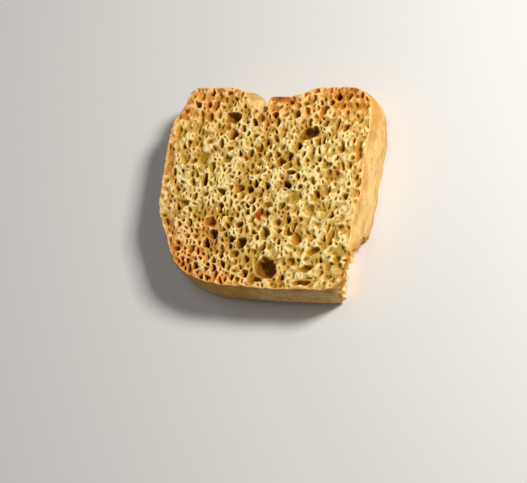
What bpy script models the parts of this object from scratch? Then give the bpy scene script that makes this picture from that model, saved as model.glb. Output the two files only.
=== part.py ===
"""A slice of twice-baked whole wheat toast, one solid lying flat with its shown face up.

Units are millimetres in the named sizes and metres in the mesh. The origin is the middle of the
underside's box, +X runs to the slice's right, +Y to its notched top edge, +Z out of the shown face.
"""

import math
import random

import bmesh
import bpy
from mathutils import Matrix, Vector

MM = 0.001

# The slice
THICKNESS = 14.5
SIDE_BULGE = 1.2  # the crust wall stands this far past the shown cut face
EDGE_ROUND = 0.5  # the cut edges are worn back this far
ARC_STEP = 1.9  # longest facet on the outline's round stretches
STRAIGHT_STEP = 6.0  # longest facet on its straight ones

# Corners of the cut face, clockwise from the top left: across, up, radius of the rounding
FACE_CORNERS = (
    (-40.1, 39.1, 4.0),  # top left corner of the loaf
    (-17.4, 39.3, 12.0),  # left lobe's shoulder
    (-9.9, 30.7, 4.0),
    (-3.6, 26.6, 1.6),  # bottom of the notch between the lobes
    (-4.5, 35.4, 2.0),  # right lobe's shoulder
    (6.5, 35.3, 20.0),
    (15.5, 39.1, 20.0),
    (38.8, 40.0, 11.5),  # top right corner
    (40.95, 21.0, 10.0),
    (40.6, 14.0, 14.0),
    (42.9, -5.0, 28.0),
    (41.4, -15.0, 28.0),  # shallow waist on the right
    (42.9, -27.0, 16.0),
    (45.7, -32.6, 4.5),  # small lobe above the lower right corner
    (39.6, -43.2, 9.0),  # lower right corner
    (12.0, -44.1, 90.0),  # the hidden foot, bowed a little
    (-13.0, -43.4, 36.0),
    (-28.6, -37.5, 18.0),
    (-35.4, -25.0, 20.0),  # long slanting curve at the lower left
    (-42.4, -14.0, 26.0),
    (-45.6, 22.0, 16.0),  # widest point on the left
    (-41.0, 32.2, 12.0),
)

# The wall's rings from the underside up: share of the thickness, outward offset, share of the lean
WALL_RINGS = (
    (0.0, -EDGE_ROUND, 0.95),
    (0.06, 0.35 * SIDE_BULGE, 1.0),
    (0.3, SIDE_BULGE, 0.75),
    (0.6, 0.9 * SIDE_BULGE, 0.4),
    (0.93, 0.1 * SIDE_BULGE, 0.05),
    (1.0, -EDGE_ROUND, 0.0),
)

# On the right the wall leans out towards the underside: up, how far at its foot
LEAN = (
    (-30.0, 0.0),
    (-22.0, 1.5),
    (-15.4, 1.85),
    (-11.3, 1.7),
    (-7.3, 0.95),
    (4.0, 1.2),
    (8.0, 2.0),
    (15.5, 2.3),
    (23.8, 1.85),
    (32.0, 0.8),
    (38.0, 0.5),
)
LEAN_ACROSS = (25.0, 35.0)  # the lean fades in between these places across

# Behind the shown face a swelling of the crust partly fills the notch: an ellipsoid along the left
# lobe's flank, with its middle, its half sizes and its turn from +X in degrees
NOTCH_FILL = ((-12.3, 32.8, 6.6), (8.6, 4.6, 6.5), -49.0)

# The back of the lower right corner is broken off: two hollows, each with its middle and half sizes
CHIPS = (
    ((51.0, -36.0, 2.5), (12.5, 15.5, 13.6)),
    ((49.0, -28.0, -3.0), (13.0, 11.4, 13.5)),
)
BALL_DETAIL = 3  # subdivisions of the balls that the swelling and the hollows are made of

# Large pores of the shown face: across, up, length, width, turn from +X in degrees, depth
FACE_PORES = (
    (10.0, -36.1, 8.8, 8.2, 20.0, 4.4),  # the largest, near the bottom edge
    (16.4, 19.1, 7.8, 4.6, 28.0, 3.8),  # below the right lobe
    (-17.7, 25.7, 6.9, 4.4, 12.0, 2.8),
    (6.7, -22.1, 5.4, 4.6, 100.0, 2.4),
    (20.1, -24.0, 5.0, 4.2, -20.0, 2.4),
    (15.5, -7.1, 6.0, 5.4, 20.0, 1.4),
    (-18.0, -18.1, 4.2, 4.0, 0.0, 1.8),
    (-15.4, -22.8, 4.2, 3.8, 0.0, 2.4),
    (-24.6, -0.6, 5.4, 2.6, 80.0, 3.2),
    (34.3, -23.0, 5.3, 2.8, 95.0, 2.0),
    (28.2, -28.8, 6.2, 2.4, 25.0, 2.2),
    (26.8, -35.2, 5.6, 2.4, 22.0, 2.2),
    (7.3, -41.0, 5.8, 2.2, 10.0, 2.0),
    (25.9, -41.0, 7.6, 1.8, 3.0, 1.8),
    (-2.2, -25.9, 3.8, 3.3, 80.0, 3.0),
    (-6.9, -25.1, 3.6, 2.0, 10.0, 2.6),
    (3.5, -2.9, 2.7, 2.6, 0.0, 3.0),
    (26.3, 6.4, 3.8, 3.3, 30.0, 1.4),
    (30.7, 13.7, 5.5, 2.0, 96.0, 1.8),
    (27.2, 23.5, 4.4, 2.1, 80.0, 1.8),
    (20.5, 29.3, 4.0, 2.8, 30.0, 1.8),
    (38.6, 12.8, 8.6, 1.8, 95.0, 1.6),  # slit beside the right edge
    (9.0, 27.6, 3.5, 2.5, 100.0, 2.2),
    (2.0, 24.1, 3.9, 2.1, 100.0, 2.2),
    (0.7, 9.2, 3.9, 3.3, 60.0, 1.6),
    (-27.3, 8.4, 5.6, 3.8, 95.0, 1.4),
    (-16.7, 8.9, 3.1, 3.0, 0.0, 1.6),
    (-29.0, 26.0, 3.6, 3.5, 0.0, 1.6),
    (-27.0, 31.1, 4.0, 2.4, 95.0, 1.6),
    (-16.4, 18.4, 4.0, 2.6, 85.0, 2.2),
    (-20.5, 14.7, 3.5, 2.2, 100.0, 1.6),
    (-32.5, 20.3, 3.6, 1.2, 96.0, 1.4),
    (-7.9, -4.0, 3.5, 2.6, 10.0, 1.8),
    (-30.9, -11.0, 4.0, 3.0, 0.0, 1.6),
    (31.0, 2.8, 3.4, 2.1, 10.0, 1.8),
    (23.3, -10.9, 3.4, 2.8, 90.0, 1.4),
    (-3.9, -31.0, 2.8, 2.6, 0.0, 1.8),
)

# Smaller pores, spread over each face by rule
SEED = 21
FACE_PORE_COUNT = 104
UNDER_PORE_COUNT = 62
SMALL_LENGTH = (2.2, 4.4)
SMALL_SLENDERNESS = (0.45, 0.85)  # width over length
SMALL_DEPTH = (1.1, 2.2)
PORE_GAP = 0.5  # least material between two pores
EDGE_GAP = 1.2  # least material between a pore and the cut edge
PORE_LIFT = 0.12  # a pore's middle stands this share of its depth outside the face
FINE_PORE = 4.5  # a longer pore has finer facets
REST_SPOT = (-8.0, -10.0, 7.0)  # flat ground kept under the slice: across, up, radius

CRUMB_COLOUR = (0.80, 0.55, 0.22, 1.0)
CRUMB_ROUGHNESS = 0.85


def clear_scene():
    for found in list(bpy.data.objects):
        bpy.data.objects.remove(found, do_unlink=True)


def rounded_outline(corners):
    """Points round a polygon whose corners are replaced by arcs."""
    places = [Vector((across, up)) for across, up, _ in corners]
    points = []
    for index, (_, _, radius) in enumerate(corners):
        corner = places[index]
        arriving = (corner - places[index - 1]).normalized()
        leaving = (places[(index + 1) % len(places)] - corner).normalized()
        turn = math.atan2(arriving.cross(leaving), arriving.dot(leaving))
        start = corner - arriving * radius * math.tan(abs(turn) / 2)
        inward = Vector((-arriving.y, arriving.x)) * math.copysign(radius, turn)
        centre = start + inward
        steps = max(1, math.ceil(abs(turn) * radius / ARC_STEP))
        if points:
            points += between(points[-1], start)
        for number in range(steps + 1):
            arm = start - centre
            arm.rotate(Matrix.Rotation(turn * number / steps, 2))
            points.append(centre + arm)
    return points + between(points[-1], points[0])


def between(first, second):
    """Points that divide a straight stretch evenly, without its ends."""
    pieces = math.ceil((second - first).length / STRAIGHT_STEP)
    return [first.lerp(second, number / pieces) for number in range(1, pieces)]


def lean(point):
    """How far the wall's foot leans out at a point of the outline."""
    fade = (point.x - LEAN_ACROSS[0]) / (LEAN_ACROSS[1] - LEAN_ACROSS[0])
    fade = max(0.0, min(1.0, fade))
    for (low_up, low_lean), (high_up, high_lean) in zip(LEAN, LEAN[1:]):
        if low_up <= point.y <= high_up:
            share = (point.y - low_up) / (high_up - low_up)
            return fade * (low_lean + share * (high_lean - low_lean))
    return fade * (LEAN[-1][1] if point.y > LEAN[-1][0] else LEAN[0][1])


def wall_ring(points, offset, lean_share):
    """The outline moved outwards by offset and by a share of the lean, for points that run clockwise."""
    moved = []
    for index, point in enumerate(points):
        along = (points[(index + 1) % len(points)] - points[index - 1]).normalized()
        outward = Vector((-along.y, along.x))
        moved.append(point + outward * (offset + lean_share * lean(point)))
    return moved


def inside(point, outline):
    """Whether a point lies in the outline, by counting the edges to its right."""
    crossings = 0
    for first, second in zip(outline, outline[1:] + outline[:1]):
        if (first.y > point.y) != (second.y > point.y):
            share = (point.y - first.y) / (second.y - first.y)
            crossings += point.x < first.x + share * (second.x - first.x)
    return crossings % 2 == 1


def edge_distance(point, outline):
    """How far a point is from the nearest stretch of the outline."""
    nearest = math.inf
    for first, second in zip(outline, outline[1:] + outline[:1]):
        along = second - first
        share = max(0.0, min(1.0, (point - first).dot(along) / along.length_squared))
        nearest = min(nearest, (first + along * share - point).length)
    return nearest


def make_object(name, mesh_maker):
    mesh = bpy.data.meshes.new(name)
    bm = bmesh.new()
    mesh_maker(bm)
    bmesh.ops.recalc_face_normals(bm, faces=bm.faces)
    bm.to_mesh(mesh)
    bm.free()
    made = bpy.data.objects.new(name, mesh)
    bpy.context.scene.collection.objects.link(made)
    return made


def slab(bm, outline):
    """The whole slice without pores: wall rings joined by quads and capped."""
    rings = []
    for share, offset, lean_share in WALL_RINGS:
        height = share * THICKNESS
        ring = [
            bm.verts.new((point.x * MM, point.y * MM, height * MM))
            for point in wall_ring(outline, offset, lean_share)
        ]
        rings.append(ring)
    for lower, upper in zip(rings, rings[1:]):
        for index in range(len(lower)):
            after = (index + 1) % len(lower)
            bm.faces.new((lower[index], lower[after], upper[after], upper[index]))
    bm.faces.new(rings[0])
    bm.faces.new(rings[-1])


def ellipsoid(bm, middle, half, turn, detail):
    """A faceted ellipsoid of half sizes half, turned about Z by turn degrees."""
    place = Matrix.Translation(Vector(middle) * MM) @ Matrix.Rotation(math.radians(turn), 4, "Z")
    place = place @ Matrix.Diagonal((half[0] * MM, half[1] * MM, half[2] * MM, 1.0))
    bmesh.ops.create_icosphere(bm, subdivisions=detail, radius=1.0, matrix=place)


def ball(name, middle, half, turn=0.0):
    return make_object(name, lambda bm: ellipsoid(bm, middle, half, turn, BALL_DETAIL))


def spread_pores(rng, count, taken, edge, kept_free):
    """Random pores that keep clear of each other, of the taken ones and of the cut edge."""
    placed = []
    tries = 0
    while len(placed) < count and tries < 40 * count:
        tries += 1
        # The longest come first, so that the short ones fill the gaps between them.
        share = 1.0 - len(placed) / count
        length = SMALL_LENGTH[0] + share * (SMALL_LENGTH[1] - SMALL_LENGTH[0])
        spot = Vector((rng.uniform(-46.0, 46.0), rng.uniform(-44.0, 40.0)))
        turn = 90.0 - 55.0 * (spot.x / 46.0) * (0.4 + spot.y / 80.0) + rng.uniform(-25.0, 25.0)
        reach = length / 2
        if not inside(spot, edge) or edge_distance(spot, edge) < reach + EDGE_GAP:
            continue
        if any((spot - other).length < reach + other_reach + PORE_GAP for other, other_reach in taken):
            continue
        if any((spot - other).length < reach + other_reach for other, other_reach in kept_free):
            continue
        taken.append((spot, reach))
        width = length * rng.uniform(*SMALL_SLENDERNESS)
        depth = rng.uniform(*SMALL_DEPTH)
        placed.append((spot.x, spot.y, length, width, turn, depth))
    return placed


def pore_cutter(bm, pores, height, outward):
    """Ellipsoids that sink into a face by each pore's depth, their middles just outside it."""
    for across, up, length, width, turn, depth in pores:
        lift = PORE_LIFT * depth
        place = (across, up, height + outward * lift)
        detail = 2 if length > FINE_PORE else 1
        ellipsoid(bm, place, (length / 2, width / 2, depth + lift), turn, detail)


def combine(solid, other, operation):
    """Joins the other body to the solid, or cuts it out, and removes the other body."""
    modifier = solid.modifiers.new("combine", "BOOLEAN")
    modifier.operation = operation
    modifier.solver = "MANIFOLD"
    modifier.object = other
    graph = bpy.context.evaluated_depsgraph_get()
    result = bpy.data.meshes.new_from_object(solid.evaluated_get(graph))
    solid.modifiers.clear()
    solid.data = result
    bpy.data.objects.remove(other, do_unlink=True)


def crumb_material():
    material = bpy.data.materials.new("toast")
    material.use_nodes = True
    shader = material.node_tree.nodes["Principled BSDF"]
    shader.inputs["Base Color"].default_value = CRUMB_COLOUR
    shader.inputs["Roughness"].default_value = CRUMB_ROUGHNESS
    shader.inputs["Metallic"].default_value = 0.0
    return material


def centre_on_origin(solid):
    """Moves the mesh across and up, so that the middle of its box is above the origin."""
    across = [vertex.co.x for vertex in solid.data.vertices]
    up = [vertex.co.y for vertex in solid.data.vertices]
    middle = Vector(((min(across) + max(across)) / 2, (min(up) + max(up)) / 2, 0.0))
    solid.data.transform(Matrix.Translation(-middle))


def build_toast():
    edge = rounded_outline(FACE_CORNERS)
    rng = random.Random(SEED)
    toast = make_object("toast", lambda bm: slab(bm, edge))

    taken = [(Vector((across, up)), length / 2) for across, up, length, _, _, _ in FACE_PORES]
    shown_pores = list(FACE_PORES) + spread_pores(rng, FACE_PORE_COUNT, taken, edge, [])
    kept_free = [(Vector(place[:2]), max(half[:2])) for place, half in CHIPS]
    kept_free.append((Vector(REST_SPOT[:2]), REST_SPOT[2]))
    under_pores = spread_pores(rng, UNDER_PORE_COUNT, [], edge, kept_free)

    combine(toast, ball("notch_fill", *NOTCH_FILL), "UNION")
    for place, half in CHIPS:
        combine(toast, ball("chip", place, half), "DIFFERENCE")
    for name, pores, height, outward in (
        ("shown_pores", shown_pores, THICKNESS, 1),
        ("under_pores", under_pores, 0.0, -1),
    ):
        cutter = make_object(name, lambda bm: pore_cutter(bm, pores, height, outward))
        combine(toast, cutter, "DIFFERENCE")
    centre_on_origin(toast)

    toast.data.materials.clear()
    toast.data.materials.append(crumb_material())
    return toast


clear_scene()
build_toast()
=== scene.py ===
"""The looks of a slice of dry whole wheat toast: a pitted crumb on both cut faces and a smooth crust.

The slice is carved on a grid of distances: a solid slab, worn round at its edges, less some
thousands of gas bubbles. Lengths are in millimetres until a mesh is made, which is in metres.
The slice lies on its underside, +X to its right, +Y to its notched edge, +Z out of the shown face.
"""

import math

import bpy
import numpy as np
from mathutils import Matrix, Vector


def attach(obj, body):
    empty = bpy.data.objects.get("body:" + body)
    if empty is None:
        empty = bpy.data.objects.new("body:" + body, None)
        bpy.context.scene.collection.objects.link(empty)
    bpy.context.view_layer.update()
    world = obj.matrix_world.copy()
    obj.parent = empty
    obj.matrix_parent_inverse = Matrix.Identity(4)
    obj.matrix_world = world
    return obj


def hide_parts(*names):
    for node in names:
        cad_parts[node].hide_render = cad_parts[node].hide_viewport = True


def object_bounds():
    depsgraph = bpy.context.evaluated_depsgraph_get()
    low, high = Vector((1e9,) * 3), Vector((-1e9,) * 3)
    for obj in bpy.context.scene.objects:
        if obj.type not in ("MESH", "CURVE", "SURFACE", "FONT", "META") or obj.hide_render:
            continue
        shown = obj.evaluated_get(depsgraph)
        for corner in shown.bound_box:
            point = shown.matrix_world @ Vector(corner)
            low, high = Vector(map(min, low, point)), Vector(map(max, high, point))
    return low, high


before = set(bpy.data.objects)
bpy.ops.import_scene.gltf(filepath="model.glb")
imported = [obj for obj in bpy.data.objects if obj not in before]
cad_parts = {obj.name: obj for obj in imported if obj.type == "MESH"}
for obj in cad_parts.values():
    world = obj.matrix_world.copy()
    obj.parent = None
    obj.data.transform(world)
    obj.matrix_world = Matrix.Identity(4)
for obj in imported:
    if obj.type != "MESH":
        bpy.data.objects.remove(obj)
cad_low, cad_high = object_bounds()

MM = 0.001
SEED = 7
SHOWN = 1
UNDERSIDE = -1

# The slice, as the solid has it
THICKNESS = (cad_high.z - cad_low.z) / MM
SIDE_BULGE = 1.2
EDGE_ROUND = 0.5

# Corners of the shown face's outline: across, up, radius of the rounding
FACE_CORNERS = (
    (-40.1, 39.1, 4.0),
    (-17.4, 39.3, 12.0),
    (-9.9, 30.7, 4.0),
    (-3.6, 26.6, 1.6),
    (-4.5, 35.4, 2.0),
    (6.5, 35.3, 20.0),
    (15.5, 39.1, 20.0),
    (38.8, 40.0, 11.5),
    (40.95, 21.0, 10.0),
    (40.6, 14.0, 14.0),
    (42.9, -5.0, 28.0),
    (41.4, -15.0, 28.0),
    (42.9, -27.0, 16.0),
    (45.7, -32.6, 4.5),
    (39.6, -43.2, 9.0),
    (12.0, -44.1, 90.0),
    (-13.0, -43.4, 36.0),
    (-28.6, -37.5, 18.0),
    (-35.4, -25.0, 20.0),
    (-42.4, -14.0, 26.0),
    (-45.6, 22.0, 16.0),
    (-41.0, 32.2, 12.0),
)

# The wall at shares of the thickness, from the underside up: outward offset, share of the lean
WALL_SHARES = (0.0, 0.06, 0.3, 0.6, 0.93, 1.0)
WALL_OFFSETS = (-EDGE_ROUND, 0.35 * SIDE_BULGE, SIDE_BULGE, 0.9 * SIDE_BULGE, 0.25 * SIDE_BULGE, 0.1)
WALL_LEAN = (0.95, 1.0, 0.75, 0.4, 0.05, 0.0)

# On the right the wall leans out towards the underside: up, how far at its foot
LEAN_UP = (-30.0, -22.0, -15.4, -11.3, -7.3, 4.0, 8.0, 15.5, 23.8, 32.0, 38.0)
LEAN_OUT = (0.0, 1.5, 1.85, 1.7, 0.95, 1.2, 2.0, 2.3, 1.85, 0.8, 0.5)
LEAN_ACROSS = (25.0, 35.0)  # the lean fades in between these places across

# Behind the shown face a swelling of the crust partly fills the notch: an ellipsoid along the left
# lobe's flank, with its middle, its half sizes and its turn from +X in degrees
NOTCH_FILL = ((-12.3, 32.8, 6.6), (8.6, 4.6, 6.5), -49.0)

# The back of the lower right corner is broken off: two hollows, each with its middle and half sizes
CHIPS = (
    ((51.0, -36.0, 2.5), (12.5, 15.5, 13.6)),
    ((49.0, -28.0, -3.0), (13.0, 11.4, 13.5)),
)

# The grid that the slice is carved on
STEP = 0.27
MARGIN = 3  # free cells round the slice
OUTLINE_STEP = 0.9
MOST_TRIANGLES = 196000

# Noises that only take away: over blobs of so many grid steps, raised by, cut off above
WAVES = ((26, 26, 18), 1.5, 4.0)
CRUMBS = ((4, 4, 4), 0.6, 2.6)
BREAK_CRUMBS = ((5, 5, 5), 1.0, 3.0)

# The surface is kept SKIN inside the solid. The wall waves inwards and crumbles near the two faces.
SKIN = 0.05
WAVES_DEEP = 0.05
CRUMBS_DEEP = 0.15
CRUMBLING_NEAR = (2.2, 0.3)  # it sets in at the first distance from a face and is full at the second
WALL_ROUND = 0.6  # rounding between the wall and the faces
NOTCH_ROUND = 1.2

# The break is rough this far from the two hollows, with deeper pits here and there
BREAK_REACH = 1.6
BREAK_DEEP = 0.13
BREAK_PITS = 0.8
BREAK_PIT_CELLS = (3.6, 3.6, 3.6)
BREAK_PIT_LEVELS = (0.3, 1.3)  # the noise rises into a pit between these values
BREAK_WARP = 2.0  # the break's edges are bent this many times as far as the bubbles' rims

# Bubbles at their places on the shown face: across, up, length, width, turn from +X in degrees,
# depth, tint. Tint runs from -1, olive, through 0, plain brown, to 1, orange.
MARKED_BUBBLES = (
    (10.0, -36.1, 8.8, 8.2, 20, 4.4, 0.2),
    (16.3, 19.5, 7.0, 5.0, 28, 3.8, -0.1),
    (-17.7, 25.7, 6.9, 4.4, 12, 2.8, 0.2),
    (6.7, -22.1, 5.4, 4.6, 100, 2.4, -0.7),
    (20.1, -24.0, 5.0, 4.2, -20, 2.0, 0.5),
    (15.5, -7.1, 5.6, 5.0, 20, 1.0, -0.35),
    (-18.0, -18.1, 4.2, 4.0, 0, 1.3, 0.7),
    (-15.4, -22.8, 4.2, 3.8, 0, 2.0, 0.3),
    (-24.6, -0.6, 5.4, 2.6, 80, 3.4, -0.2),
    (34.3, -23.0, 5.3, 2.8, 95, 2.0, 0.4),
    (28.2, -28.8, 6.2, 2.4, 25, 2.2, -0.3),
    (26.8, -35.2, 5.6, 2.4, 22, 2.2, -0.1),
    (7.3, -41.0, 5.8, 2.2, 10, 2.2, 0.0),
    (25.9, -41.0, 7.6, 1.8, 3, 2.0, 0.4),
    (-2.2, -25.9, 3.8, 3.3, 80, 3.6, -0.1),
    (-6.9, -25.1, 3.6, 2.0, 10, 3.0, -0.1),
    (3.5, -2.9, 2.7, 2.6, 0, 3.6, -0.2),
    (26.3, 6.4, 3.8, 3.3, 30, 1.4, -0.4),
    (30.7, 13.7, 5.5, 2.0, 96, 2.0, -0.1),
    (27.2, 23.5, 4.4, 2.1, 80, 2.0, 0.0),
    (20.5, 29.3, 4.0, 2.8, 30, 2.0, 0.6),
    (38.5, 12.8, 10.0, 2.5, 95, 1.1, 1.0),
    (2.9, -13.4, 4.3, 1.9, 22, 1.0, 0.9),
    (3.4, -16.0, 1.6, 1.3, 80, 0.8, 0.6),
    (-2.0, 31.8, 2.2, 1.7, 20, 0.8, 1.0),
    (9.0, 27.6, 3.5, 2.5, 100, 2.6, 0.1),
    (2.0, 24.1, 3.9, 2.1, 100, 2.8, 0.0),
    (0.7, 9.2, 3.9, 3.3, 60, 1.6, -0.3),
    (-27.3, 8.4, 5.2, 3.4, 95, 1.1, -0.3),
    (-16.7, 8.9, 3.1, 3.0, 0, 1.6, -0.4),
    (-29.0, 26.0, 3.6, 3.5, 0, 1.6, 0.3),
    (-27.0, 31.1, 4.0, 2.4, 95, 1.8, 0.7),
    (-16.4, 18.4, 4.0, 2.6, 85, 2.6, 0.2),
    (-20.5, 14.7, 3.5, 2.2, 100, 2.0, 0.2),
    (-32.5, 20.3, 3.6, 1.2, 96, 1.8, 0.0),
    (-7.9, -4.0, 3.5, 2.6, 10, 1.8, 0.3),
    (-30.9, -11.0, 4.0, 3.0, 0, 1.6, -0.5),
    (31.0, 2.8, 3.4, 2.1, 10, 1.8, 0.8),
    (23.3, -10.9, 3.4, 2.8, 90, 1.4, -0.5),
    (-3.9, -31.0, 2.8, 2.6, 0, 1.8, 0.0),
    (32.9, 6.5, 3.8, 0.9, 100, 1.4, 1.0),
    (33.1, -4.1, 1.8, 1.3, 0, 2.6, 0.0),
    (-35.2, 14.6, 3.2, 1.4, 100, 2.4, 0.0),
    (-10.3, 18.8, 2.3, 1.4, 0, 2.4, 0.0),
    (32.1, -18.7, 2.2, 0.9, 95, 2.2, 0.0),
    (3.4, -24.3, 2.2, 1.7, 100, 2.6, 0.0),
    (-34.7, 2.6, 1.6, 1.2, 100, 2.4, 0.0),
    (-31.3, 4.4, 1.6, 1.1, 60, 2.4, 0.0),
)

# A bran fleck baked into the shown face, orange to brown, the brown partly painted shade in its hollows:
# across, up, length, width, turn
FLECK = (2.9, -14.3, 4.9, 3.7, 22.0)

# Rosier patches of the shown face: across, up, radius, strength
ROSY_PATCHES = (
    (1.5, 34.8, 3.6, 0.5),
    (-18.4, -15.4, 2.6, 0.3),
    (-14.6, -12.3, 2.0, 0.3),
    (19.6, -20.4, 2.4, 0.3),
    (-14.5, 21.4, 2.2, 0.3),
    (30.6, 3.2, 2.2, 0.35),
)

# Bubbles spread over both faces by rule, largest first: how many are tried, shortest, longest
BUBBLE_SIZES = (
    (700, 2.5, 3.6),
    (5000, 1.7, 2.5),
    (16000, 1.1, 1.7),
    (16000, 0.8, 1.1),
)
SPREAD_ACROSS = (-46.0, 46.0)
SPREAD_UP = (-45.0, 41.0)
HALF_WIDTH = 45.0  # from the middle of the face to its sides
KEPT = 0.75  # share of the tried bubbles that is kept, with its change by density and its least
KEPT_BY_DENSITY = 0.3
LEAST_KEPT = 0.3
SLENDERNESS = (0.62, 1.0)  # width over length
SLENDER_AT_SIDES = 0.28  # they are more slender at the sides by up to this
TURN_SPREAD = 22.0
TINT_SPREAD = (-0.02, 0.25)  # middle and spread
TINT_LIMITS = (-0.5, 0.6)
GAP = 0.05  # least distance between two bubbles as they are spread
MARKED_GAP = 0.9  # a marked bubble is taken as this much longer and wider
SWELL = 0.45  # they then swell this far, where a neighbour leaves room
WALL = 0.42  # thickness of the wall left between neighbours
SOFT_RADIUS = 0.8  # bubbles of this radius have soft rims
CRISP_RADIUS = 1.9  # and those of this radius crisp ones
SOFT_RIM = 0.75  # a soft bubble's floor starts at this share of the way in from its rim

# A bubble's depth over its width: at least, spread, and up to how much more for a share of them
LEAST_DEPTH = 0.5
DEPTH_SPREAD = 0.45
DEEP_SHARE = 0.2
DEEP_MORE = 1.3
LONG_FROM = 1.5  # longer bubbles are deeper by up to LONG_DEEPER
LONG_DEEPER = 0.2

# The way bubbles are stretched, in degrees from +X: upright in the middle, fanning out to the sides
GRAIN_UPRIGHT = 92.0
LOW_FAN = 62.0
LOW_FAN_FROM = 10.0  # up, where the lower fan starts
LOW_FAN_REACH = 48.0
HIGH_FAN = 34.0
HIGH_FAN_REACH = 40.0

# A placed bubble deeper than this is also carved as an ellipsoid, which makes its walls steeper
BALL_FROM = 1.9
BALL_RISE = 0.08  # its middle is above the face by this share of its depth
BALL_DEPTH = 1.08

# Rims are bent by shifts of these sizes, each over blobs of so many grid steps
RIM_SHIFTS = ((0.32, 8.0), (0.16, 3.4))

# Where bubbles stand closer, as patches: across, up, radius, strength
DENSITY_PATCHES = (
    (-22, -30, 20, 1.2),
    (-30, 25, 16, 0.4),
)
DENSITY_CELLS = (40, 40)
DENSITY_SPREAD = 0.3
DENSITY_LESS = 0.2

# Where bubbles are deeper, or shallower where the strength is below nought
DEPTH_PATCHES = (
    (-22, -34, 18, 0.95),
    (20, -25, 20, -0.25),
)
RIGHT_DEPTH_PATCHES = ((30, 12, 22, -0.15),)
DEPTH_UNEVEN = 0.16
LEFT_BORDER_SHALLOWER = 0.4
LEFT_BORDER_EDGE = (-9.0, -2.0)
LEFT_BORDER_ACROSS = (-24.0, -36.0)
RIM_RISE = (0.1, 0.7)  # the pits fade out between these distances from the outline

# Noises that wear down the ground between the bubbles: how deep, over blobs of so many grid steps,
# raised by, cut off above
WORN = (
    (0.27, (5, 5), 0.7, 2.6),
    (0.06, (2.6, 2.6), 0.8, 3.0),
)

# Toasting, 0 to 1, and some painted light and shade: more towards the outline and in patches, less where
# the strength is below nought
BORDER_TOASTED = 0.38
BORDER_EDGE = (-8.0, -0.5)
TOASTED_PATCHES = (
    (-30, 30, 19, 0.75),
    (-24, -34, 17, 0.75),
    (4, 31, 9, 0.4),
    (-44, -2, 13, 0.3),
    (-6, -43, 12, 0.45),
    (22, 34, 16, 0.68),
    (8, -2, 20, -0.3),
    # painted light: this patch is paler where light falls stronger on the lower right
    (24, -28, 14, -0.2),
)
WALL_TOASTED_PATCHES = (
    # painted shade: darker at the band's lower end, where a hollow lies in shade
    (43.5, -26.0, 3.6, 0.9),
    # painted light: paler on the notch's swelling, which is turned away from the light
    (-9.5, 33.5, 5.5, -1.2),
    (43.0, 29.0, 12.0, 0.4),
)
WALL_TOASTED = 0.55  # the wall is darker near the faces
WALL_TOASTED_DEPTHS = (5.0, 0.4)
PALE_LEFT = 0.35  # the rim is paler along the lower left
PALE_LEFT_EDGE = (-1.5, -0.4)
PALE_LEFT_ACROSS = (-20.0, -32.0)
PALE_LEFT_UP = (24.0, 12.0)

# Where the crust's colour starts: between these depths under the wall and below a face
CRUST_UNDER = (1.1, 0.45)
CRUST_BELOW = (0.1, 0.8)
FLECK_EDGE = (1.15, 0.75)
BREAK_LEVELS = (1.16, 1.1)  # shares of a hollow's size between which the break's colour starts
BREAK_SKIN = 0.1  # depth on the break is counted from here, up to BREAK_DEEPEST
BREAK_DEEPEST = 2.0


def outline_points(corners, step):
    """Points round a polygon whose corners are rounded by arcs, at most step apart."""
    places = [np.array(corner[:2]) for corner in corners]
    ends = []
    for index, (_, _, radius) in enumerate(corners):
        corner = places[index]
        arriving = corner - places[index - 1]
        arriving = arriving / np.linalg.norm(arriving)
        leaving = places[(index + 1) % len(places)] - corner
        leaving = leaving / np.linalg.norm(leaving)
        crossed = arriving[0] * leaving[1] - arriving[1] * leaving[0]
        turn = math.atan2(crossed, arriving @ leaving)
        start = corner - arriving * radius * math.tan(abs(turn) / 2)
        centre = start + math.copysign(radius, turn) * np.array((-arriving[1], arriving[0]))
        steps = max(1, math.ceil(abs(turn) * radius / step))
        for number in range(steps + 1):
            ends.append(centre + lengthwise(*(start - centre), -turn * number / steps))
    points = []
    for first, second in zip(ends, ends[1:] + ends[:1]):
        pieces = max(1, math.ceil(np.linalg.norm(second - first) / step))
        points += [first + (second - first) * number / pieces for number in range(pieces)]
    return np.array(points)


def lengthwise(x, y, turn):
    """Where a place lies along and aside of something that is turned by turn radians."""
    cos, sin = math.cos(turn), math.sin(turn)
    return cos * x + sin * y, cos * y - sin * x


def outline_field(outline, across, up):
    """Signed distance to the outline (negative inside) and the distance run along it, at each place."""
    ends = np.roll(outline, -1, 0)
    along = ends - outline
    lengths = np.linalg.norm(along, axis=1)
    run = np.concatenate(([0.0], np.cumsum(lengths)[:-1]))
    nearest = np.full(across.shape, np.inf)
    where = np.zeros(across.shape)
    crossings = np.zeros(across.shape, int)
    for first, second, direction, length, start in zip(outline, ends, along, lengths, run):
        dx = across - first[0]
        dy = up - first[1]
        share = np.clip((dx * direction[0] + dy * direction[1]) / length**2, 0.0, 1.0)
        distance = np.hypot(dx - share * direction[0], dy - share * direction[1])
        closer = distance < nearest
        nearest[closer] = distance[closer]
        where[closer] = start + share[closer] * length
        if first[1] != second[1]:
            spans = (first[1] > up) != (second[1] > up)
            crossings += spans & (across < first[0] + dy * direction[0] / direction[1])
    return np.where(crossings % 2 == 1, -nearest, nearest), where


def spline_weights(count, cell, start):
    """Weights of a cubic B-spline with knots cell apart, for count samples."""
    places = start + np.arange(count) / cell
    knots = np.arange(int(places.max()) + 4)
    gap = np.abs(places[:, None] + 1.0 - knots[None, :])
    near = 2 / 3 - gap**2 + gap**3 / 2
    far = (2 - gap) ** 3 / 6
    return np.where(gap < 1, near, np.where(gap < 2, far, 0.0)).astype(np.float32)


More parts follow.
